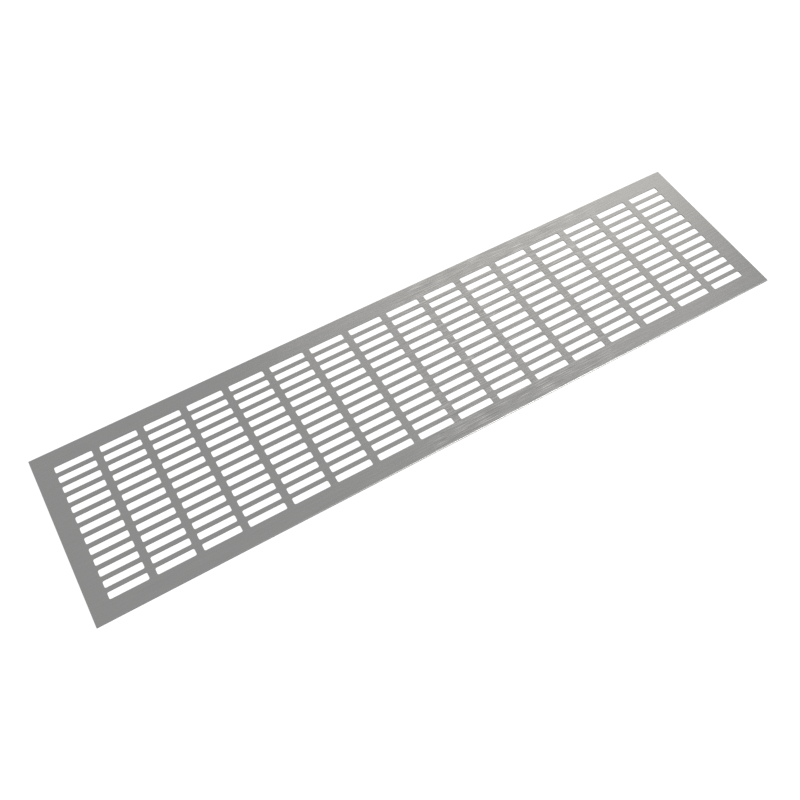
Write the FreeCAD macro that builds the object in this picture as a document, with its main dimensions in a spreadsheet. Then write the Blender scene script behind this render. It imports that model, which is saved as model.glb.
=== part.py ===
import FreeCAD, Part
import os

import Sketcher

# Ventilation grille: one flat aluminium strip, its long edges rounded at the top, with a field of punched
# slots. Millimetres. X runs along the length, Y across it, +Z up out of the face. The origin is the
# middle of the underside.

SIZES = {
    "column_count": 16,        # slots end to end along the length
    "row_count": 13,           # slots side by side across the width
    "slot_length": 25.0,
    "slot_width": 5.0,
    "corner_radius": 1.0,      # of the four corners of a slot
    "column_web": 5.0,         # metal between the ends of two slots
    "row_bar": 3.0,            # metal between the long sides of two slots
    "end_margin": 12.5,        # from the last slots to the cut ends of the sheet
    "side_margin": 12.5,       # from the last slots to the long edges of the sheet
    "sheet_gauge": 0.8,        # thickness of the metal
    "edge_land": 0.1,          # upright foot of a long edge, below its rounding
}

COLUMN_PITCH = "(Sizes.slot_length + Sizes.column_web)"
ROW_PITCH = "(Sizes.slot_width + Sizes.row_bar)"
PLATE_LENGTH = f"(2 * Sizes.end_margin + Sizes.column_count * {COLUMN_PITCH} - Sizes.column_web)"
PLATE_WIDTH = f"(2 * Sizes.side_margin + Sizes.row_count * {ROW_PITCH} - Sizes.row_bar)"
EDGE_RADIUS = "(Sizes.sheet_gauge - Sizes.edge_land)"

# The middle of a quarter-round lies this share of its radius inside both sides of the square corner.
ROUND_MIDDLE = "(1 - sqrt(0.5))"

START, END = 1, 2              # the ends of an edge, as constraints number them
ORIGIN = (-1, START)           # the sketch's own origin point


def make_sizes(doc):
    """The driving dimensions, one alias to a row."""
    sheet = doc.addObject("Spreadsheet::Sheet", "Sizes")
    for row, (name, value) in enumerate(SIZES.items(), start=1):
        sheet.set(f"A{row}", str(value))
        sheet.setAlias(f"A{row}", name)
    doc.recompute()


def number(item, expression):
    """What an expression comes to now."""
    return float(item.evalExpression(expression))


def new_sketch(body, name, role):
    """An empty sketch on one of the body's own base planes."""
    plane = next(item for item in body.Origin.OriginFeatures if item.Role == role)
    sketch = body.newObject("Sketcher::SketchObject", name)
    sketch.AttachmentSupport = [(plane, "")]
    sketch.MapMode = "FlatFace"
    return sketch


def bind(sketch, kind, items, expression):
    """A dimension that follows its expression."""
    dimension = Sketcher.Constraint(kind, *items, number(sketch, expression))
    index = sketch.addConstraint(dimension)
    sketch.setExpression(f"Constraints[{index}]", expression)


def toward(start, end):
    """The direction of a run, which lies along one of the sketch's axes."""
    run = end - start
    run.normalize()
    return round(run.x), round(run.y)


def step(place, direction, distance):
    """The place, two expressions, moved in a direction by a distance."""
    return tuple(f"{value} + {sign} * {distance}" for value, sign in zip(place, direction))


def corner_points(place, came, goes, radius, flats):
    """Where a rounded corner starts and ends, with its middle point between them if it is two flats."""
    first = step(place, (-came[0], -came[1]), radius)
    last = step(place, goes, radius)
    if not flats:
        return [first, last]
    inward = (goes[0] - came[0], goes[1] - came[1])
    return [first, step(place, inward, f"{ROUND_MIDDLE} * {radius}"), last]


def arc_through(start, end, came):
    """The quarter-round from start to end that leaves start in the direction it came."""
    ahead = FreeCAD.Vector(*came, 0)
    square = start + ahead * (end - start).dot(ahead)
    centre = start + end - square
    middle = centre + (square - centre).normalize() * (start - centre).Length
    return Part.Arc(start, middle, end)


def draw_outline(sketch, corners, flats):
    """A closed outline of runs along the axes. A corner is (x, y, radius), each an expression, and a
    radius of None is a sharp corner. Rounded corners are arcs, or two flats each where flats is true."""
    square = [FreeCAD.Vector(number(sketch, x), number(sketch, y), 0) for x, y, _ in corners]
    points, arcs = [], {}
    for index, (x, y, radius) in enumerate(corners):
        came = toward(square[index - 1], square[index])
        goes = toward(square[index], square[(index + 1) % len(corners)])
        if radius and not flats:
            arcs[len(points)] = (came, radius)
        points += corner_points((x, y), came, goes, radius, flats) if radius else [(x, y)]
    places = [FreeCAD.Vector(number(sketch, x), number(sketch, y), 0) for x, y in points]

    ends = []
    for index, start in enumerate(places):
        end = places[(index + 1) % len(places)]
        if index in arcs:
            edge = sketch.addGeometry(arc_through(start, end, arcs[index][0]), False)
            turned = sketch.getPoint(edge, START).distanceToPoint(start) > start.distanceToPoint(end) / 2
            ends.append((END, START) if turned else (START, END))
        else:
            sketch.addGeometry(Part.LineSegment(start, end), False)
            ends.append((START, END))

    for edge, (start, end) in enumerate(ends):
        after = (edge + 1) % len(ends)
        sketch.addConstraint(Sketcher.Constraint("Coincident", edge, end, after, ends[after][0]))
        bind(sketch, "DistanceX", (*ORIGIN, edge, start), points[edge][0])
        bind(sketch, "DistanceY", (*ORIGIN, edge, start), points[edge][1])
        if edge in arcs:
            bind(sketch, "Radius", (edge,), arcs[edge][1])


def draw_strip(body):
    """The strip seen from its end, with both upper corners rounded, drawn out to its length."""
    half, top = f"({PLATE_WIDTH} / 2)", "Sizes.sheet_gauge"
    section = new_sketch(body, "StripSection", "YZ_Plane")
    draw_outline(section, [
        (half, "0", None),
        (half, top, EDGE_RADIUS),
        (f"-{half}", top, EDGE_RADIUS),
        (f"-{half}", "0", None),
    ], flats=False)
    strip = body.newObject("PartDesign::Pad", "Strip")
    strip.Profile = section
    strip.Midplane = True
    strip.setExpression("Length", PLATE_LENGTH)
    return strip


def punch_slots(body):
    """One slot, punched down from the face at the field's first corner, then repeated over the field."""
    half_long, half_wide = "(Sizes.slot_length / 2)", "(Sizes.slot_width / 2)"
    outline = new_sketch(body, "SlotOutline", "XY_Plane")
    outline.setExpression("AttachmentOffset.Base.x", f"-(Sizes.column_count - 1) / 2 * {COLUMN_PITCH}")
    outline.setExpression("AttachmentOffset.Base.y", f"-(Sizes.row_count - 1) / 2 * {ROW_PITCH}")
    outline.setExpression("AttachmentOffset.Base.z", "Sizes.sheet_gauge")
    draw_outline(outline, [
        (half_long, half_wide, "Sizes.corner_radius"),
        (f"-{half_long}", half_wide, "Sizes.corner_radius"),
        (f"-{half_long}", f"-{half_wide}", "Sizes.corner_radius"),
        (half_long, f"-{half_wide}", "Sizes.corner_radius"),
    ], flats=True)
    slot = body.newObject("PartDesign::Pocket", "FirstSlot")
    slot.Profile = outline
    slot.setExpression("Length", "Sizes.sheet_gauge")

    field = body.newObject("PartDesign::LinearPattern", "SlotField")
    field.Originals = [slot]
    field.Direction = (outline, ["H_Axis"])
    field.Mode = "Spacing"
    field.setExpression("Offset", COLUMN_PITCH)
    field.setExpression("Occurrences", "Sizes.column_count")
    field.Direction2 = (outline, ["V_Axis"])
    field.Mode2 = "Spacing"
    field.Spacings2 = [-1.0]   # every row takes the common spacing
    field.setExpression("Offset2", ROW_PITCH)
    field.setExpression("Occurrences2", "Sizes.row_count")
    body.Tip = field
    return field


def check(doc, body, strip, field):
    """Nothing failed, the solid is sound, and every slot is cut right through."""
    failed = [item.Name for item in doc.Objects if {"Invalid", "Error"} & set(item.State)]
    if failed:
        raise RuntimeError(f"failed: {failed}")
    shape = body.Shape
    if shape.isNull() or not shape.isValid() or len(shape.Solids) != 1:
        raise RuntimeError("the grille is not one sound solid")
    outline = doc.getObject("SlotOutline").Shape
    slots = number(field, "Sizes.column_count * Sizes.row_count")
    punched = Part.Face(outline.Wires[0]).Area * slots * number(field, "Sizes.sheet_gauge")
    removed = strip.Shape.Volume - shape.Volume
    if abs(removed - punched) > 1e-4 * punched:
        raise RuntimeError(f"the slots take {removed:.1f} mm3 of metal, not {punched:.1f}")


def main():
    doc = FreeCAD.newDocument("VentilationGrille")
    make_sizes(doc)
    body = doc.addObject("PartDesign::Body", "grille_plate")
    body.Label = "grille_plate"
    strip = draw_strip(body)
    field = punch_slots(body)
    doc.recompute()
    check(doc, body, strip, field)

    os.makedirs("parts", exist_ok=True)
    body.Shape.exportStep(f"parts/{body.Label}.step")
    box = body.Shape.BoundBox
    print(f"{body.Label}: {box.XLength:.2f} x {box.YLength:.2f} x {box.ZLength:.2f} mm,"
          f" {body.Shape.Volume:.1f} mm3")


main()
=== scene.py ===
import math

import bpy
from mathutils import Euler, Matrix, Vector


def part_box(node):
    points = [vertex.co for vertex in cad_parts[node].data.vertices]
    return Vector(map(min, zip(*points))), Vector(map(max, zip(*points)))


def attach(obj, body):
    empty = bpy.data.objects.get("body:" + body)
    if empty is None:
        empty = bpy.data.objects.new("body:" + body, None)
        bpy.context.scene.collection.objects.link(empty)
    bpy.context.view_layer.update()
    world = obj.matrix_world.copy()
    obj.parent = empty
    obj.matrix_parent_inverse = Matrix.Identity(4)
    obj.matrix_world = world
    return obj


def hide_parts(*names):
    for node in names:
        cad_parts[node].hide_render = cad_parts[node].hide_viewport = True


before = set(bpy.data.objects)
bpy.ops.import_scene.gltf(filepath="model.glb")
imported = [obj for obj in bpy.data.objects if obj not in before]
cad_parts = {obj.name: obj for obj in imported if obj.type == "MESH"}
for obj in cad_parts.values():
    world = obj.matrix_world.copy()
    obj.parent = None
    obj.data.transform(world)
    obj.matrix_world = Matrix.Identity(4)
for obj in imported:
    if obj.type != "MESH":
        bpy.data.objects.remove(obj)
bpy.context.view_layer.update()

# Ventilation grille: flat strip of brushed aluminium with rounded long edges and a field of punched
# slots. Metres. X runs along the length and the brushing, Y across, Z up, and the underside is Z = 0.

NODE = "grille_plate"
MM = 0.001
QUARTER_TURN = math.pi / 2

COLUMNS, ROWS = 16, 13
SLOT_LENGTH, SLOT_WIDTH = 25 * MM, 5 * MM
COLUMN_PITCH, ROW_PITCH = 30 * MM, 8 * MM
SLOT_CORNER = 1.0 * MM
EDGE_LAND = 0.1 * MM           # upright foot of a long edge, below its rounding

ROLLOVER = 0.05 * MM           # the punch draws the slots' upper edges in by this much
EDGE_BREAK = 0.06 * MM         # chamfer of the cut edges
CORNER_STEPS = 8               # facets of a quarter-round slot corner
ROLLOVER_STEPS = 2
EDGE_STEPS = 10                # facets of a long edge's rounding

FIRST_COLUMN = 2               # strips of the mesh left of the field: the chamfer and the end margin
FIRST_ROW = EDGE_STEPS + 2     # and in front of it: the foot, the rounding and the side margin

low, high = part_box(NODE)
HALF_LENGTH, HALF_WIDTH, GAUGE = high.x, high.y, high.z
EDGE_RADIUS = GAUGE - EDGE_LAND

# The finish. Streaks are cells per metre across the brushing and along it.
HAIRLINE, STROKE, CLOUD = (5200, 26), (1200, 42), (22, 9)
SCRATCH_GLINT, DARK_SCRATCH = (2900, 60), (2300, 50)
BUMP_DEPTH = 0.06 * MM
ANISOTROPY = 0.8
HAIRLINE_GLOSS = (0.2, 0.225)  # roughness of the face, from the finest streaks' hollows to their ridges
STROKE_ROUGHER, ROUNDING_ROUGHER, FOOT_ROUGHER, CUT_ROUGHER = 0.05, 0.12, 0.15, 0.25

HAIRLINE_DARK, HAIRLINE_LIGHT = (0.407, 0.406, 0.404, 1), (0.453, 0.452, 0.449, 1)
STROKE_TONE = (0.50, 0.498, 0.494, 1)
CLOUD_TONE = (0.40, 0.399, 0.397, 1)
DARK_SCRATCH_TONE = (0.32, 0.318, 0.316, 1)
# Painted glints: bright scratch lines, far lighter than the metal, where the lamp light catches the
# brushing
SCRATCH_GLINT_TONE = (0.75, 0.745, 0.735, 1)
# Sheared metal: a duller grey of its own, darkened further as painted shade on the slot walls, in place of
# the shadowed table they mirror
CUT_AND_SHADE_TONE = (0.27, 0.269, 0.268, 1)
# Painted shadow: near black on the foot of each long edge and the lower part of its rounding, a contact
# shadow along the table
FOOT_SHADOW_TONE = (0.13, 0.13, 0.13, 1)

WHITE = (1, 1, 1, 1)
HORIZON, ZENITH = 0.5, 0.605   # the world's level
BACK_POWER, FRONT_POWER = 8.5, 26.0
BACK_COLOUR, FRONT_COLOUR = (1.0, 0.96, 0.88), (1.0, 0.99, 0.97)

FLOOR_REACH = 6.0
FLOOR_DROP = 0.02 * MM
FLOOR_PAINT = (0.8, 0.8, 0.8, 1)
FLOOR_SHADED = (0.3, 0.3, 0.3, 1)
FLOOR_GLOW = 0.86


class Shell:
    """The points and faces of a mesh, with each corner's facing and its place on the finish."""

    def __init__(self):
        self.points, self.faces, self.facings = [], [], []
        self.finish, self.cut, self.rounding = [], [], []

    def point(self, x, y, z):
        self.points.append((x, y, z))
        return len(self.points) - 1

    def face(self, corners, finish, facings=None, cut=0.0, rounding=None):
        """A face, with the place of each corner on the brushed finish: (across the brushing, along it). A
        face that is part of a curve gives the way that each corner faces, and any other is flat. Cut marks
        sheared metal, and rounding how far down the rounding of a long edge each corner is."""
        self.faces.append(corners)
        self.finish.extend(finish)
        self.facings.extend(facings or [self.flat_facing(corners)] * len(corners))
        self.cut.extend([cut] * len(corners))
        self.rounding.extend(rounding or [0.0] * len(corners))

    def flat_facing(self, corners):
        first, second, third = (Vector(self.points[corner]) for corner in corners[:3])
        return (second - first).cross(third - first).normalized()

    def mesh(self, name):
        data = bpy.data.meshes.new(name)
        data.from_pydata(self.points, [], self.faces)
        finish = data.uv_layers.new(name="finish")
        finish.data.foreach_set("uv", [value for place in self.finish for value in place])
        for mark, values in (("cut", self.cut), ("rounding", self.rounding)):
            attribute = data.attributes.new(mark, "FLOAT", "CORNER")
            attribute.data.foreach_set("value", values)
        data.shade_smooth()
        data.normals_split_custom_set(self.facings)
        return data


def row_lines():
    """Where the field's rows meet, and its two outer lines."""
    return [(row - ROWS / 2) * ROW_PITCH for row in range(ROWS + 1)]


def both_ways(rear, level):
    """A side of the section from front to rear, as (y, z, way walked from the middle line, lean of the
    facing from upright): the rear edge as given, the front edge as its mirror image, and the flat between
    them with a point at each row line."""
    front = [(-y, z, -way, -lean) for y, z, way, lean in reversed(rear)]
    return front + [(y, level, y, 0.0) for y in row_lines()] + rear


def face_side(inset):
    """The face in section, down over the rounded long edges to their feet."""
    radius, top = EDGE_RADIUS - inset, GAUGE - inset
    centre_y, centre_z = HALF_WIDTH - inset - radius, top - radius
    rear = []
    for step in range(EDGE_STEPS + 1):
        lean = QUARTER_TURN * step / EDGE_STEPS
        y, z = centre_y + radius * math.sin(lean), centre_z + radius * math.cos(lean)
        rear.append((y, z, centre_y + radius * lean, lean))
    rear.append((centre_y + radius, EDGE_BREAK, rear[-1][2] + centre_z - EDGE_BREAK, QUARTER_TURN))
    return both_ways(rear, top)


def under_side(inset):
    """The underside in section, with a point below each one of the face."""
    start, stop = HALF_WIDTH - EDGE_RADIUS, HALF_WIDTH - EDGE_BREAK - inset
    rear = [start + (stop - start) * step / (EDGE_STEPS + 1) for step in range(EDGE_STEPS + 2)]
    return both_ways([(y, inset, y, 0.0) for y in rear], inset)


def slot_directions():
    """The way outward at each point round a slot: four quarter-rounds, from the far right corner on."""
    ways = []
    for quarter in range(4):
        for step in range(CORNER_STEPS + 1):
            turn = QUARTER_TURN * (quarter + step / CORNER_STEPS)
            ways.append((math.cos(turn), math.sin(turn)))
    return ways


def slot_loop(centre_x, centre_y, grow):
    """Points round a slot's outline, grown outward."""
    radius = SLOT_CORNER + grow
    reach_x, reach_y = SLOT_LENGTH / 2 - SLOT_CORNER, SLOT_WIDTH / 2 - SLOT_CORNER
    loop = []
    for index, (out_x, out_y) in enumerate(slot_directions()):
        side_x, side_y = ((1, 1), (-1, 1), (-1, -1), (1, -1))[index // (CORNER_STEPS + 1)]
        x = centre_x + side_x * reach_x + radius * out_x
        y = centre_y + side_y * reach_y + radius * out_y
        loop.append((x, y))
    return loop


def slot_rings(shell, centre_x, centre_y):
    """A slot's rings of points from the face down, with how far each is down the wall, and for each band
    between two rings the lean of its facing at its upper and at its lower ring."""
    leans = [QUARTER_TURN * step / ROLLOVER_STEPS for step in range(ROLLOVER_STEPS + 1)]
    shape = [(ROLLOVER * (1 - math.sin(lean)), ROLLOVER * (1 - math.cos(lean))) for lean in leans]
    shape += [(0, GAUGE - EDGE_BREAK), (EDGE_BREAK, GAUGE)]
    wall, broken = QUARTER_TURN, QUARTER_TURN * 3 / 2
    bands = list(zip(leans, leans[1:])) + [(wall, wall), (broken, broken)]
    rings = []
    for grow, depth in shape:
        rings.append([shell.point(x, y, GAUGE - depth) for x, y in slot_loop(centre_x, centre_y, grow)])
    return rings, [depth for _, depth in shape], bands


def flat_finish(shell, corners):
    """The places of a flat face's corners on the finish."""
    return [(shell.points[corner][1], shell.points[corner][0]) for corner in corners]


def flat_face(shell, corners, downward):
    """A face of the flat top or underside, turned over where it looks down."""
    ordered = corners[::-1] if downward else corners
    shell.face(ordered, flat_finish(shell, ordered))


def surround(shell, cell, ring, downward):
    """The sheet between a cell's four corners and the ring round its slot."""
    per_corner = CORNER_STEPS + 1
    for quarter in range(4):
        first = quarter * per_corner
        for step in range(CORNER_STEPS):
            flat_face(shell, [cell[quarter], ring[first + step + 1], ring[first + step]], downward)
        after = (quarter + 1) % 4
        corners = [cell[quarter], cell[after], ring[after * per_corner], ring[first + CORNER_STEPS]]
        flat_face(shell, corners, downward)


def slot_wall(shell, rings, depths, bands):
    """The wall of a slot: the drawn-in edge, the cut wall and the broken lower edge."""
    ways = slot_directions()
    for upper, (lean_above, lean_below) in enumerate(bands):
        above, below = rings[upper], rings[upper + 1]
        down = [depths[upper], depths[upper], depths[upper + 1], depths[upper + 1]]
        for index in range(len(ways)):
            after = (index + 1) % len(ways)
            corners = [above[index], above[after], below[after], below[index]]
            along = [shell.points[corner][0] for corner in corners]
            turned = ((index, lean_above), (after, lean_above), (after, lean_below), (index, lean_below))
            facings = []
            for place, lean in turned:
                out_x, out_y = ways[place]
                facings.append((-out_x * math.sin(lean), -out_y * math.sin(lean), math.cos(lean)))
            shell.face(corners, list(zip(down, along)), facings, cut=1.0)


def in_field(column, row):
    return 0 <= column - FIRST_COLUMN < COLUMNS and 0 <= row - FIRST_ROW < ROWS


def lay_strips(shell, stations, sides, leans):
    """The two sides of the sheet round the field, a quad for each place in the grid of points. A side is
    its lines of points, the way walked at each point, and whether it looks down."""
    last_row = len(leans) - 2
    for column in range(len(stations) - 1):
        chamfer = column in (0, len(stations) - 2)
        for row in range(last_row + 1):
            if in_field(column, row):
                continue
            for lines, ways, downward in sides:
                around = [(column, row), (column + 1, row), (column + 1, row + 1), (column, row + 1)]
                if downward:
                    around.reverse()
                corners = [lines[station][line] for station, line in around]
                places = [(ways[station][line], stations[station][0]) for station, line in around]
                if downward or EDGE_STEPS < row < last_row - EDGE_STEPS:
                    shell.face(corners, places)
                else:
                    turned = [leans[line] for _, line in around]
                    facings = [(0, math.sin(lean), math.cos(lean)) for lean in turned]
                    down = [abs(lean) / QUARTER_TURN for lean in turned]
                    shell.face(corners, places, None if chamfer else facings, rounding=down)


def lay_field(shell, upper, lower):
    """The slots, each with its wall and with the sheet round it on both sides."""
    for column in range(COLUMNS):
        for row in range(ROWS):
            centre_x = (column + 0.5 - COLUMNS / 2) * COLUMN_PITCH
            centre_y = (row + 0.5 - ROWS / 2) * ROW_PITCH
            rings, depths, bands = slot_rings(shell, centre_x, centre_y)
            slot_wall(shell, rings, depths, bands)
            left, near = FIRST_COLUMN + column, FIRST_ROW + row
            right, far = left + 1, near + 1
            for lines, ring, downward in ((upper, rings[0], False), (lower, rings[-1], True)):
                cell = [lines[right][far], lines[left][far], lines[left][near], lines[right][near]]
                surround(shell, cell, ring, downward)


def close_long_edges(shell, upper, lower):
    """The broken lower corner along each long edge."""
    for line, front in ((0, True), (-1, False)):
        for station in range(len(upper) - 1):
            after = station + 1
            corners = [upper[station][line], lower[station][line], lower[after][line], upper[after][line]]
            if not front:
                corners.reverse()
            shell.face(corners, flat_finish(shell, corners), cut=1.0)


def close_ends(shell, upper, lower):
    """The cut ends of the sheet, a strip of quads between its two sides."""
    for top, bottom, left in ((upper[0], lower[0], True), (upper[-1], lower[-1], False)):
        for line in range(len(top) - 1):
            corners = [top[line], top[line + 1], bottom[line + 1], bottom[line]]
            if not left:
                corners.reverse()
            places = [(shell.points[corner][1], shell.points[corner][2]) for corner in corners]
            shell.face(corners, places, cut=1.0)


def build_sheet():
    """The whole sheet as one closed mesh."""
    shell = Shell()
    stations = [(-HALF_LENGTH, EDGE_BREAK), (-HALF_LENGTH + EDGE_BREAK, 0)]
    stations += [((column - COLUMNS / 2) * COLUMN_PITCH, 0) for column in range(COLUMNS + 1)]
    stations += [(HALF_LENGTH - EDGE_BREAK, 0), (HALF_LENGTH, EDGE_BREAK)]

    upper, lower, upper_ways, lower_ways = [], [], [], []
    for x, inset in stations:
        sections = ((face_side(inset), upper, upper_ways), (under_side(inset), lower, lower_ways))
        for section, lines, ways in sections:
            lines.append([shell.point(x, y, z) for y, z, _, _ in section])
            ways.append([way for _, _, way, _ in section])
    leans = [lean for _, _, _, lean in face_side(0)]

    lay_strips(shell, stations, ((upper, upper_ways, False), (lower, lower_ways, True)), leans)
    lay_field(shell, upper, lower)
    close_long_edges(shell, upper, lower)
    close_ends(shell, upper, lower)
    return shell.mesh("grille_sheet")


class Tree:
    """The nodes of a material or of the world."""

    def __init__(self, owner):
        owner.use_nodes = True
        self.nodes, self.links = owner.node_tree.nodes, owner.node_tree.links

    def node(self, kind, **values):
        made = self.nodes.new(kind)
        for name, value in values.items():
            setattr(made, name, value)
        return made

    def feed(self, socket, value):
        """Gives an input its value, or links it to another node's output."""
        if isinstance(value, bpy.types.NodeSocket):
            self.links.new(value, socket)
        else:
            socket.default_value = value

    def attribute(self, name):
        return self.node("ShaderNodeAttribute", attribute_name=name).outputs["Fac"]

    def maths(self, operation, *values):
        made = self.node("ShaderNodeMath", operation=operation)
        for socket, value in zip(made.inputs, values):
            self.feed(socket, value)
        return made.outputs[0]

    def product(self, first, second):
        return self.maths("MULTIPLY", first, second)

    def added(self, factor, amount, value):
        """A value, plus an amount where the factor is 1."""
        return self.maths("MULTIPLY_ADD", factor, amount, value)

    def mix(self, factor, first, second):
        """The first colour, and the second where the factor is 1."""
        made = self.node("ShaderNodeMix", data_type="RGBA")
        for socket, value in (("Factor", factor), (6, first), (7, second)):
            self.feed(made.inputs[socket], value)
        return made.outputs[2]

    def ramp(self, value, low_in, high_in, low_out, high_out, **values):
        """A value's way from one level to another, held at both ends."""
        made = self.node("ShaderNodeMapRange", **values)
        self.feed(made.inputs["Value"], value)
        ends = {"From Min": low_in, "From Max": high_in, "To Min": low_out, "To Max": high_out}
        for name, number in ends.items():
            made.inputs[name].default_value = number
        return made.outputs["Result"]

    def streaks(self, finish, cells, detail, offset):
        """Noise drawn out along the brushing."""
        stretch = self.node("ShaderNodeMapping")
        stretch.inputs["Scale"].default_value = (*cells, 1)
        stretch.inputs["Location"].default_value = (offset, offset * 0.37, 0)
        self.feed(stretch.inputs["Vector"], finish)
        noise = self.node("ShaderNodeTexNoise", noise_dimensions="2D")
        noise.inputs["Scale"].default_value = 1.0
        noise.inputs["Detail"].default_value = detail
        noise.inputs["Roughness"].default_value = 0.6
        self.feed(noise.inputs["Vector"], stretch.outputs["Vector"])
        return noise.outputs["Fac"]


def coarse_band(tree, finish):
    """The brushing is coarsest in a band that crosses the face at a slant, right of its middle: the left
    border is the sharper one, and the near side the coarser."""
    # Besides the coarser relief, this band holds the scratch lines, and its bright ones are painted glints
    place = tree.node("ShaderNodeSeparateXYZ")
    tree.feed(place.inputs[0], finish)
    across, along = place.outputs["X"], place.outputs["Y"]
    left_border = tree.ramp(tree.added(across, -0.35, along), -0.02, 0.01, 0.0, 1.0)
    right_border = tree.ramp(tree.added(across, -0.6, along), 0.125, 0.185, 1.0, 0.0)
    strength = tree.ramp(across, -0.055, -0.04, 1.35, 1.0)
    return tree.product(strength, tree.product(left_border, right_border))


def brushed_aluminium():
    """Fine brushing along the sheet: streaks of several widths in the colour, the gloss and the relief."""
    material = bpy.data.materials.new("brushed_aluminium")
    tree = Tree(material)
    ramp, product, added, mix = tree.ramp, tree.product, tree.added, tree.mix
    shader = tree.nodes["Principled BSDF"]
    shader.inputs["Metallic"].default_value = 1.0
    shader.inputs["Anisotropic"].default_value = ANISOTROPY

    finish = tree.node("ShaderNodeUVMap", uv_map="finish").outputs["UV"]
    hairline = tree.streaks(finish, HAIRLINE, 3.0, 3.1)
    stroke = tree.streaks(finish, STROKE, 1.0, 11.7)
    cloud = tree.streaks(finish, CLOUD, 2.0, 47.9)
    scratch_glint = ramp(tree.streaks(finish, SCRATCH_GLINT, 0.0, 23.3), 0.66, 0.74, 0.0, 0.55)
    dark_scratch = ramp(tree.streaks(finish, DARK_SCRATCH, 0.0, 71.3), 0.65, 0.75, 0.0, 0.6)

    cut, rounding = tree.attribute("cut"), tree.attribute("rounding")
    on_face = ramp(rounding, 0.0, 0.05, 1.0, 0.0)
    on_rounding = ramp(rounding, 0.0, 0.1, 0.0, 1.0)
    foot = ramp(rounding, 0.55, 0.8, 0.0, 1.0)
    coarse = product(on_face, coarse_band(tree, finish))

    tone = mix(ramp(hairline, 0.25, 0.75, 0.0, 1.0), HAIRLINE_DARK, HAIRLINE_LIGHT)
    tone = mix(ramp(stroke, 0.3, 0.7, 0.0, 0.2), tone, STROKE_TONE)
    tone = mix(ramp(cloud, 0.35, 0.7, 0.0, 0.1), tone, CLOUD_TONE)
    tone = mix(product(coarse, dark_scratch), tone, DARK_SCRATCH_TONE)
    # Painted glints: bright scratch lines in the band where the lamp light catches the brushing
    tone = mix(product(coarse, scratch_glint), tone, SCRATCH_GLINT_TONE)
    # Sheared faces: their own duller grey, and painted shade on the slot walls
    tone = mix(cut, tone, CUT_AND_SHADE_TONE)
    # Painted shadow: the lower rounding and the foot of each long edge go near black, a contact shadow
    # where the sheet meets the table
    tone = mix(ramp(rounding, 0.55, 0.8, 0.0, 0.9), tone, FOOT_SHADOW_TONE)
    tree.feed(shader.inputs["Base Color"], tone)

    rough = added(stroke, STROKE_ROUGHER, ramp(hairline, 0.25, 0.75, *HAIRLINE_GLOSS))
    rough = added(on_rounding, ROUNDING_ROUGHER, rough)
    rough = added(foot, FOOT_ROUGHER, rough)
    rough = added(cut, CUT_ROUGHER, rough)
    tree.feed(shader.inputs["Roughness"], rough)

    bump = tree.node("ShaderNodeBump")
    bump.inputs["Distance"].default_value = BUMP_DEPTH
    tree.feed(bump.inputs["Strength"], ramp(on_face, 0.0, 1.0, 0.1, 1.0))
    relief = added(hairline, 0.06, ramp(stroke, 0.42, 0.72, 0.0, 0.6))
    tree.feed(bump.inputs["Height"], product(ramp(coarse, 0.0, 1.0, 0.4, 1.0), relief))
    tree.feed(shader.inputs["Normal"], bump.outputs["Normal"])

    grain = tree.node("ShaderNodeTangent", direction_type="UV_MAP", uv_map="finish")
    tree.feed(shader.inputs["Tangent"], grain.outputs["Tangent"])
    return material


def white_table():
    """White paint. To the camera and in the metal it glows white, and still takes the soft shadow."""
    material = bpy.data.materials.new("white_table")
    tree = Tree(material)
    tree.nodes.clear()
    output = tree.node("ShaderNodeOutputMaterial")
    paint, shaded = tree.node("ShaderNodeBsdfDiffuse"), tree.node("ShaderNodeBsdfDiffuse")
    paint.inputs["Color"].default_value = FLOOR_PAINT
    shaded.inputs["Color"].default_value = FLOOR_SHADED
    glow = tree.node("ShaderNodeEmission")
    glow.inputs["Strength"].default_value = FLOOR_GLOW
    seen = tree.node("ShaderNodeAddShader")
    tree.feed(seen.inputs[0], shaded.outputs[0])
    tree.feed(seen.inputs[1], glow.outputs[0])

    rays = tree.node("ShaderNodeLightPath").outputs
    direct = tree.maths("MAXIMUM", rays["Is Camera Ray"], rays["Is Glossy Ray"])
    direct = tree.maths("MAXIMUM", direct, rays["Is Transmission Ray"])
    choose = tree.node("ShaderNodeMixShader")
    for socket, value in (("Fac", direct), (1, paint.outputs[0]), (2, seen.outputs[0])):
        tree.feed(choose.inputs[socket], value)
    tree.feed(output.inputs["Surface"], choose.outputs[0])
    return material


def make_floor():
    """A plain table under the sheet."""
    data = bpy.data.meshes.new("floor")
    corners = [(-FLOOR_REACH, -FLOOR_REACH, 0), (FLOOR_REACH, -FLOOR_REACH, 0),
               (FLOOR_REACH, FLOOR_REACH, 0), (-FLOOR_REACH, FLOOR_REACH, 0)]
    data.from_pydata(corners, [], [(0, 1, 2, 3)])
    data.materials.append(white_table())
    floor = bpy.data.objects.new("floor", data)
    floor.location.z = -FLOOR_DROP
    bpy.context.scene.collection.objects.link(floor)


def softbox(name, place, aim, size, power, colour):
    """A soft rectangular lamp at a place, turned towards what it lights."""
    lamp = bpy.data.lights.new(name, "AREA")
    lamp.shape = "RECTANGLE"
    lamp.size, lamp.size_y = size
    lamp.energy = power
    lamp.color = colour
    holder = bpy.data.objects.new(name, lamp)
    holder.location = place
    holder.rotation_euler = (Vector(aim) - Vector(place)).to_track_quat("-Z", "Y").to_euler()
    bpy.context.scene.collection.objects.link(holder)


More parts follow.
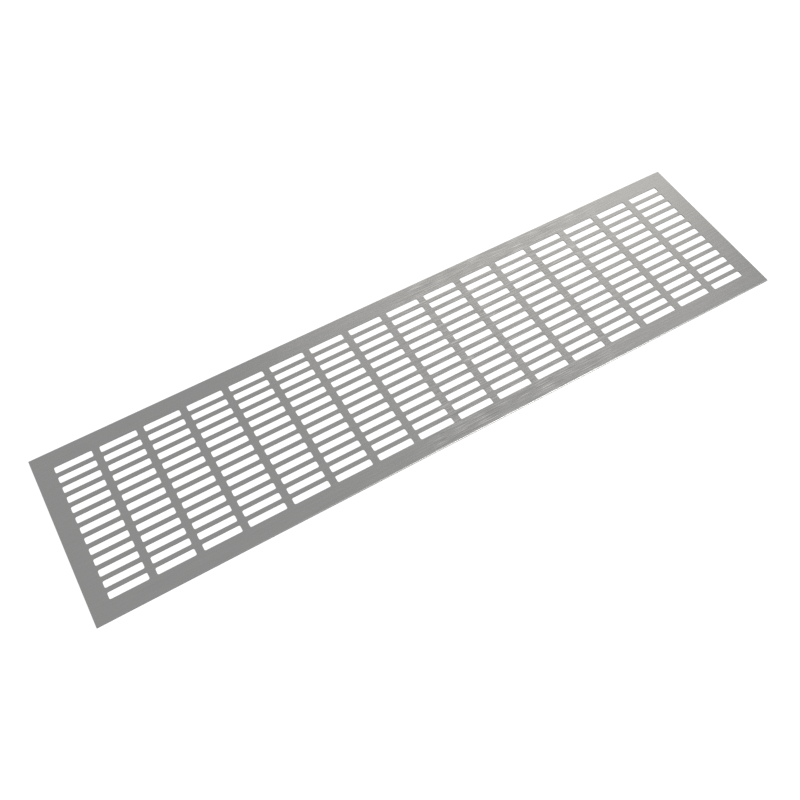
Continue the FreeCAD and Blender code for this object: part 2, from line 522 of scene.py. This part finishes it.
def light_studio():
    """An even grey studio, a little darker at the horizon, with a large lamp behind on the right and a
    narrower one in front. The camera sees the world as white."""
    world = bpy.data.worlds.new("studio")
    bpy.context.scene.world = world
    tree = Tree(world)
    background = tree.nodes["Background"]
    background.inputs["Color"].default_value = WHITE
    height = tree.node("ShaderNodeSeparateXYZ")
    tree.feed(height.inputs[0], tree.node("ShaderNodeTexCoord").outputs["Generated"])
    sky = tree.ramp(height.outputs["Z"], 0.05, 0.6, HORIZON, ZENITH, interpolation_type="SMOOTHSTEP")
    level = tree.node("ShaderNodeMix", data_type="FLOAT")
    rays = tree.node("ShaderNodeLightPath").outputs
    for socket, value in (("Factor", rays["Is Camera Ray"]), (2, sky), (3, 1.0)):
        tree.feed(level.inputs[socket], value)
    tree.feed(background.inputs["Strength"], level.outputs[0])

    softbox("back_right", (1.26, 1.99, 1.11), (0, 0, 0), (1.7, 2.1), BACK_POWER, BACK_COLOUR)
    softbox("front_right", (0.92, -1.5, 1.45), (0.92, 0, 0), (0.95, 1.4), FRONT_POWER, FRONT_COLOUR)


def place_camera():
    """The photograph's viewpoint: heading and tilt of the view, and the lens that frames the sheet."""
    place = (-0.1762, -0.3150, 0.5246 + GAUGE)
    heading, tilt, roll = math.radians(29.26), math.radians(57.55), math.radians(-1.23)
    camera = bpy.data.cameras.new("camera")
    camera.sensor_width = 36.0
    camera.lens = 42.64
    camera.shift_x = -0.025
    camera.clip_start, camera.clip_end = 0.01, 50
    holder = bpy.data.objects.new("camera", camera)
    holder.location = place
    turn = Euler((QUARTER_TURN - tilt, 0, -heading)).to_matrix() @ Euler((0, 0, roll)).to_matrix()
    holder.rotation_euler = turn.to_euler()
    bpy.context.scene.collection.objects.link(holder)
    bpy.context.scene.camera = holder


def main():
    sheet = bpy.data.objects.new("brushed_sheet", build_sheet())
    sheet.data.materials.append(brushed_aluminium())
    bpy.context.scene.collection.objects.link(sheet)
    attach(sheet, "root")
    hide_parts(NODE)
    make_floor()
    light_studio()
    place_camera()
    bpy.context.scene.view_settings.view_transform = "Standard"


main()
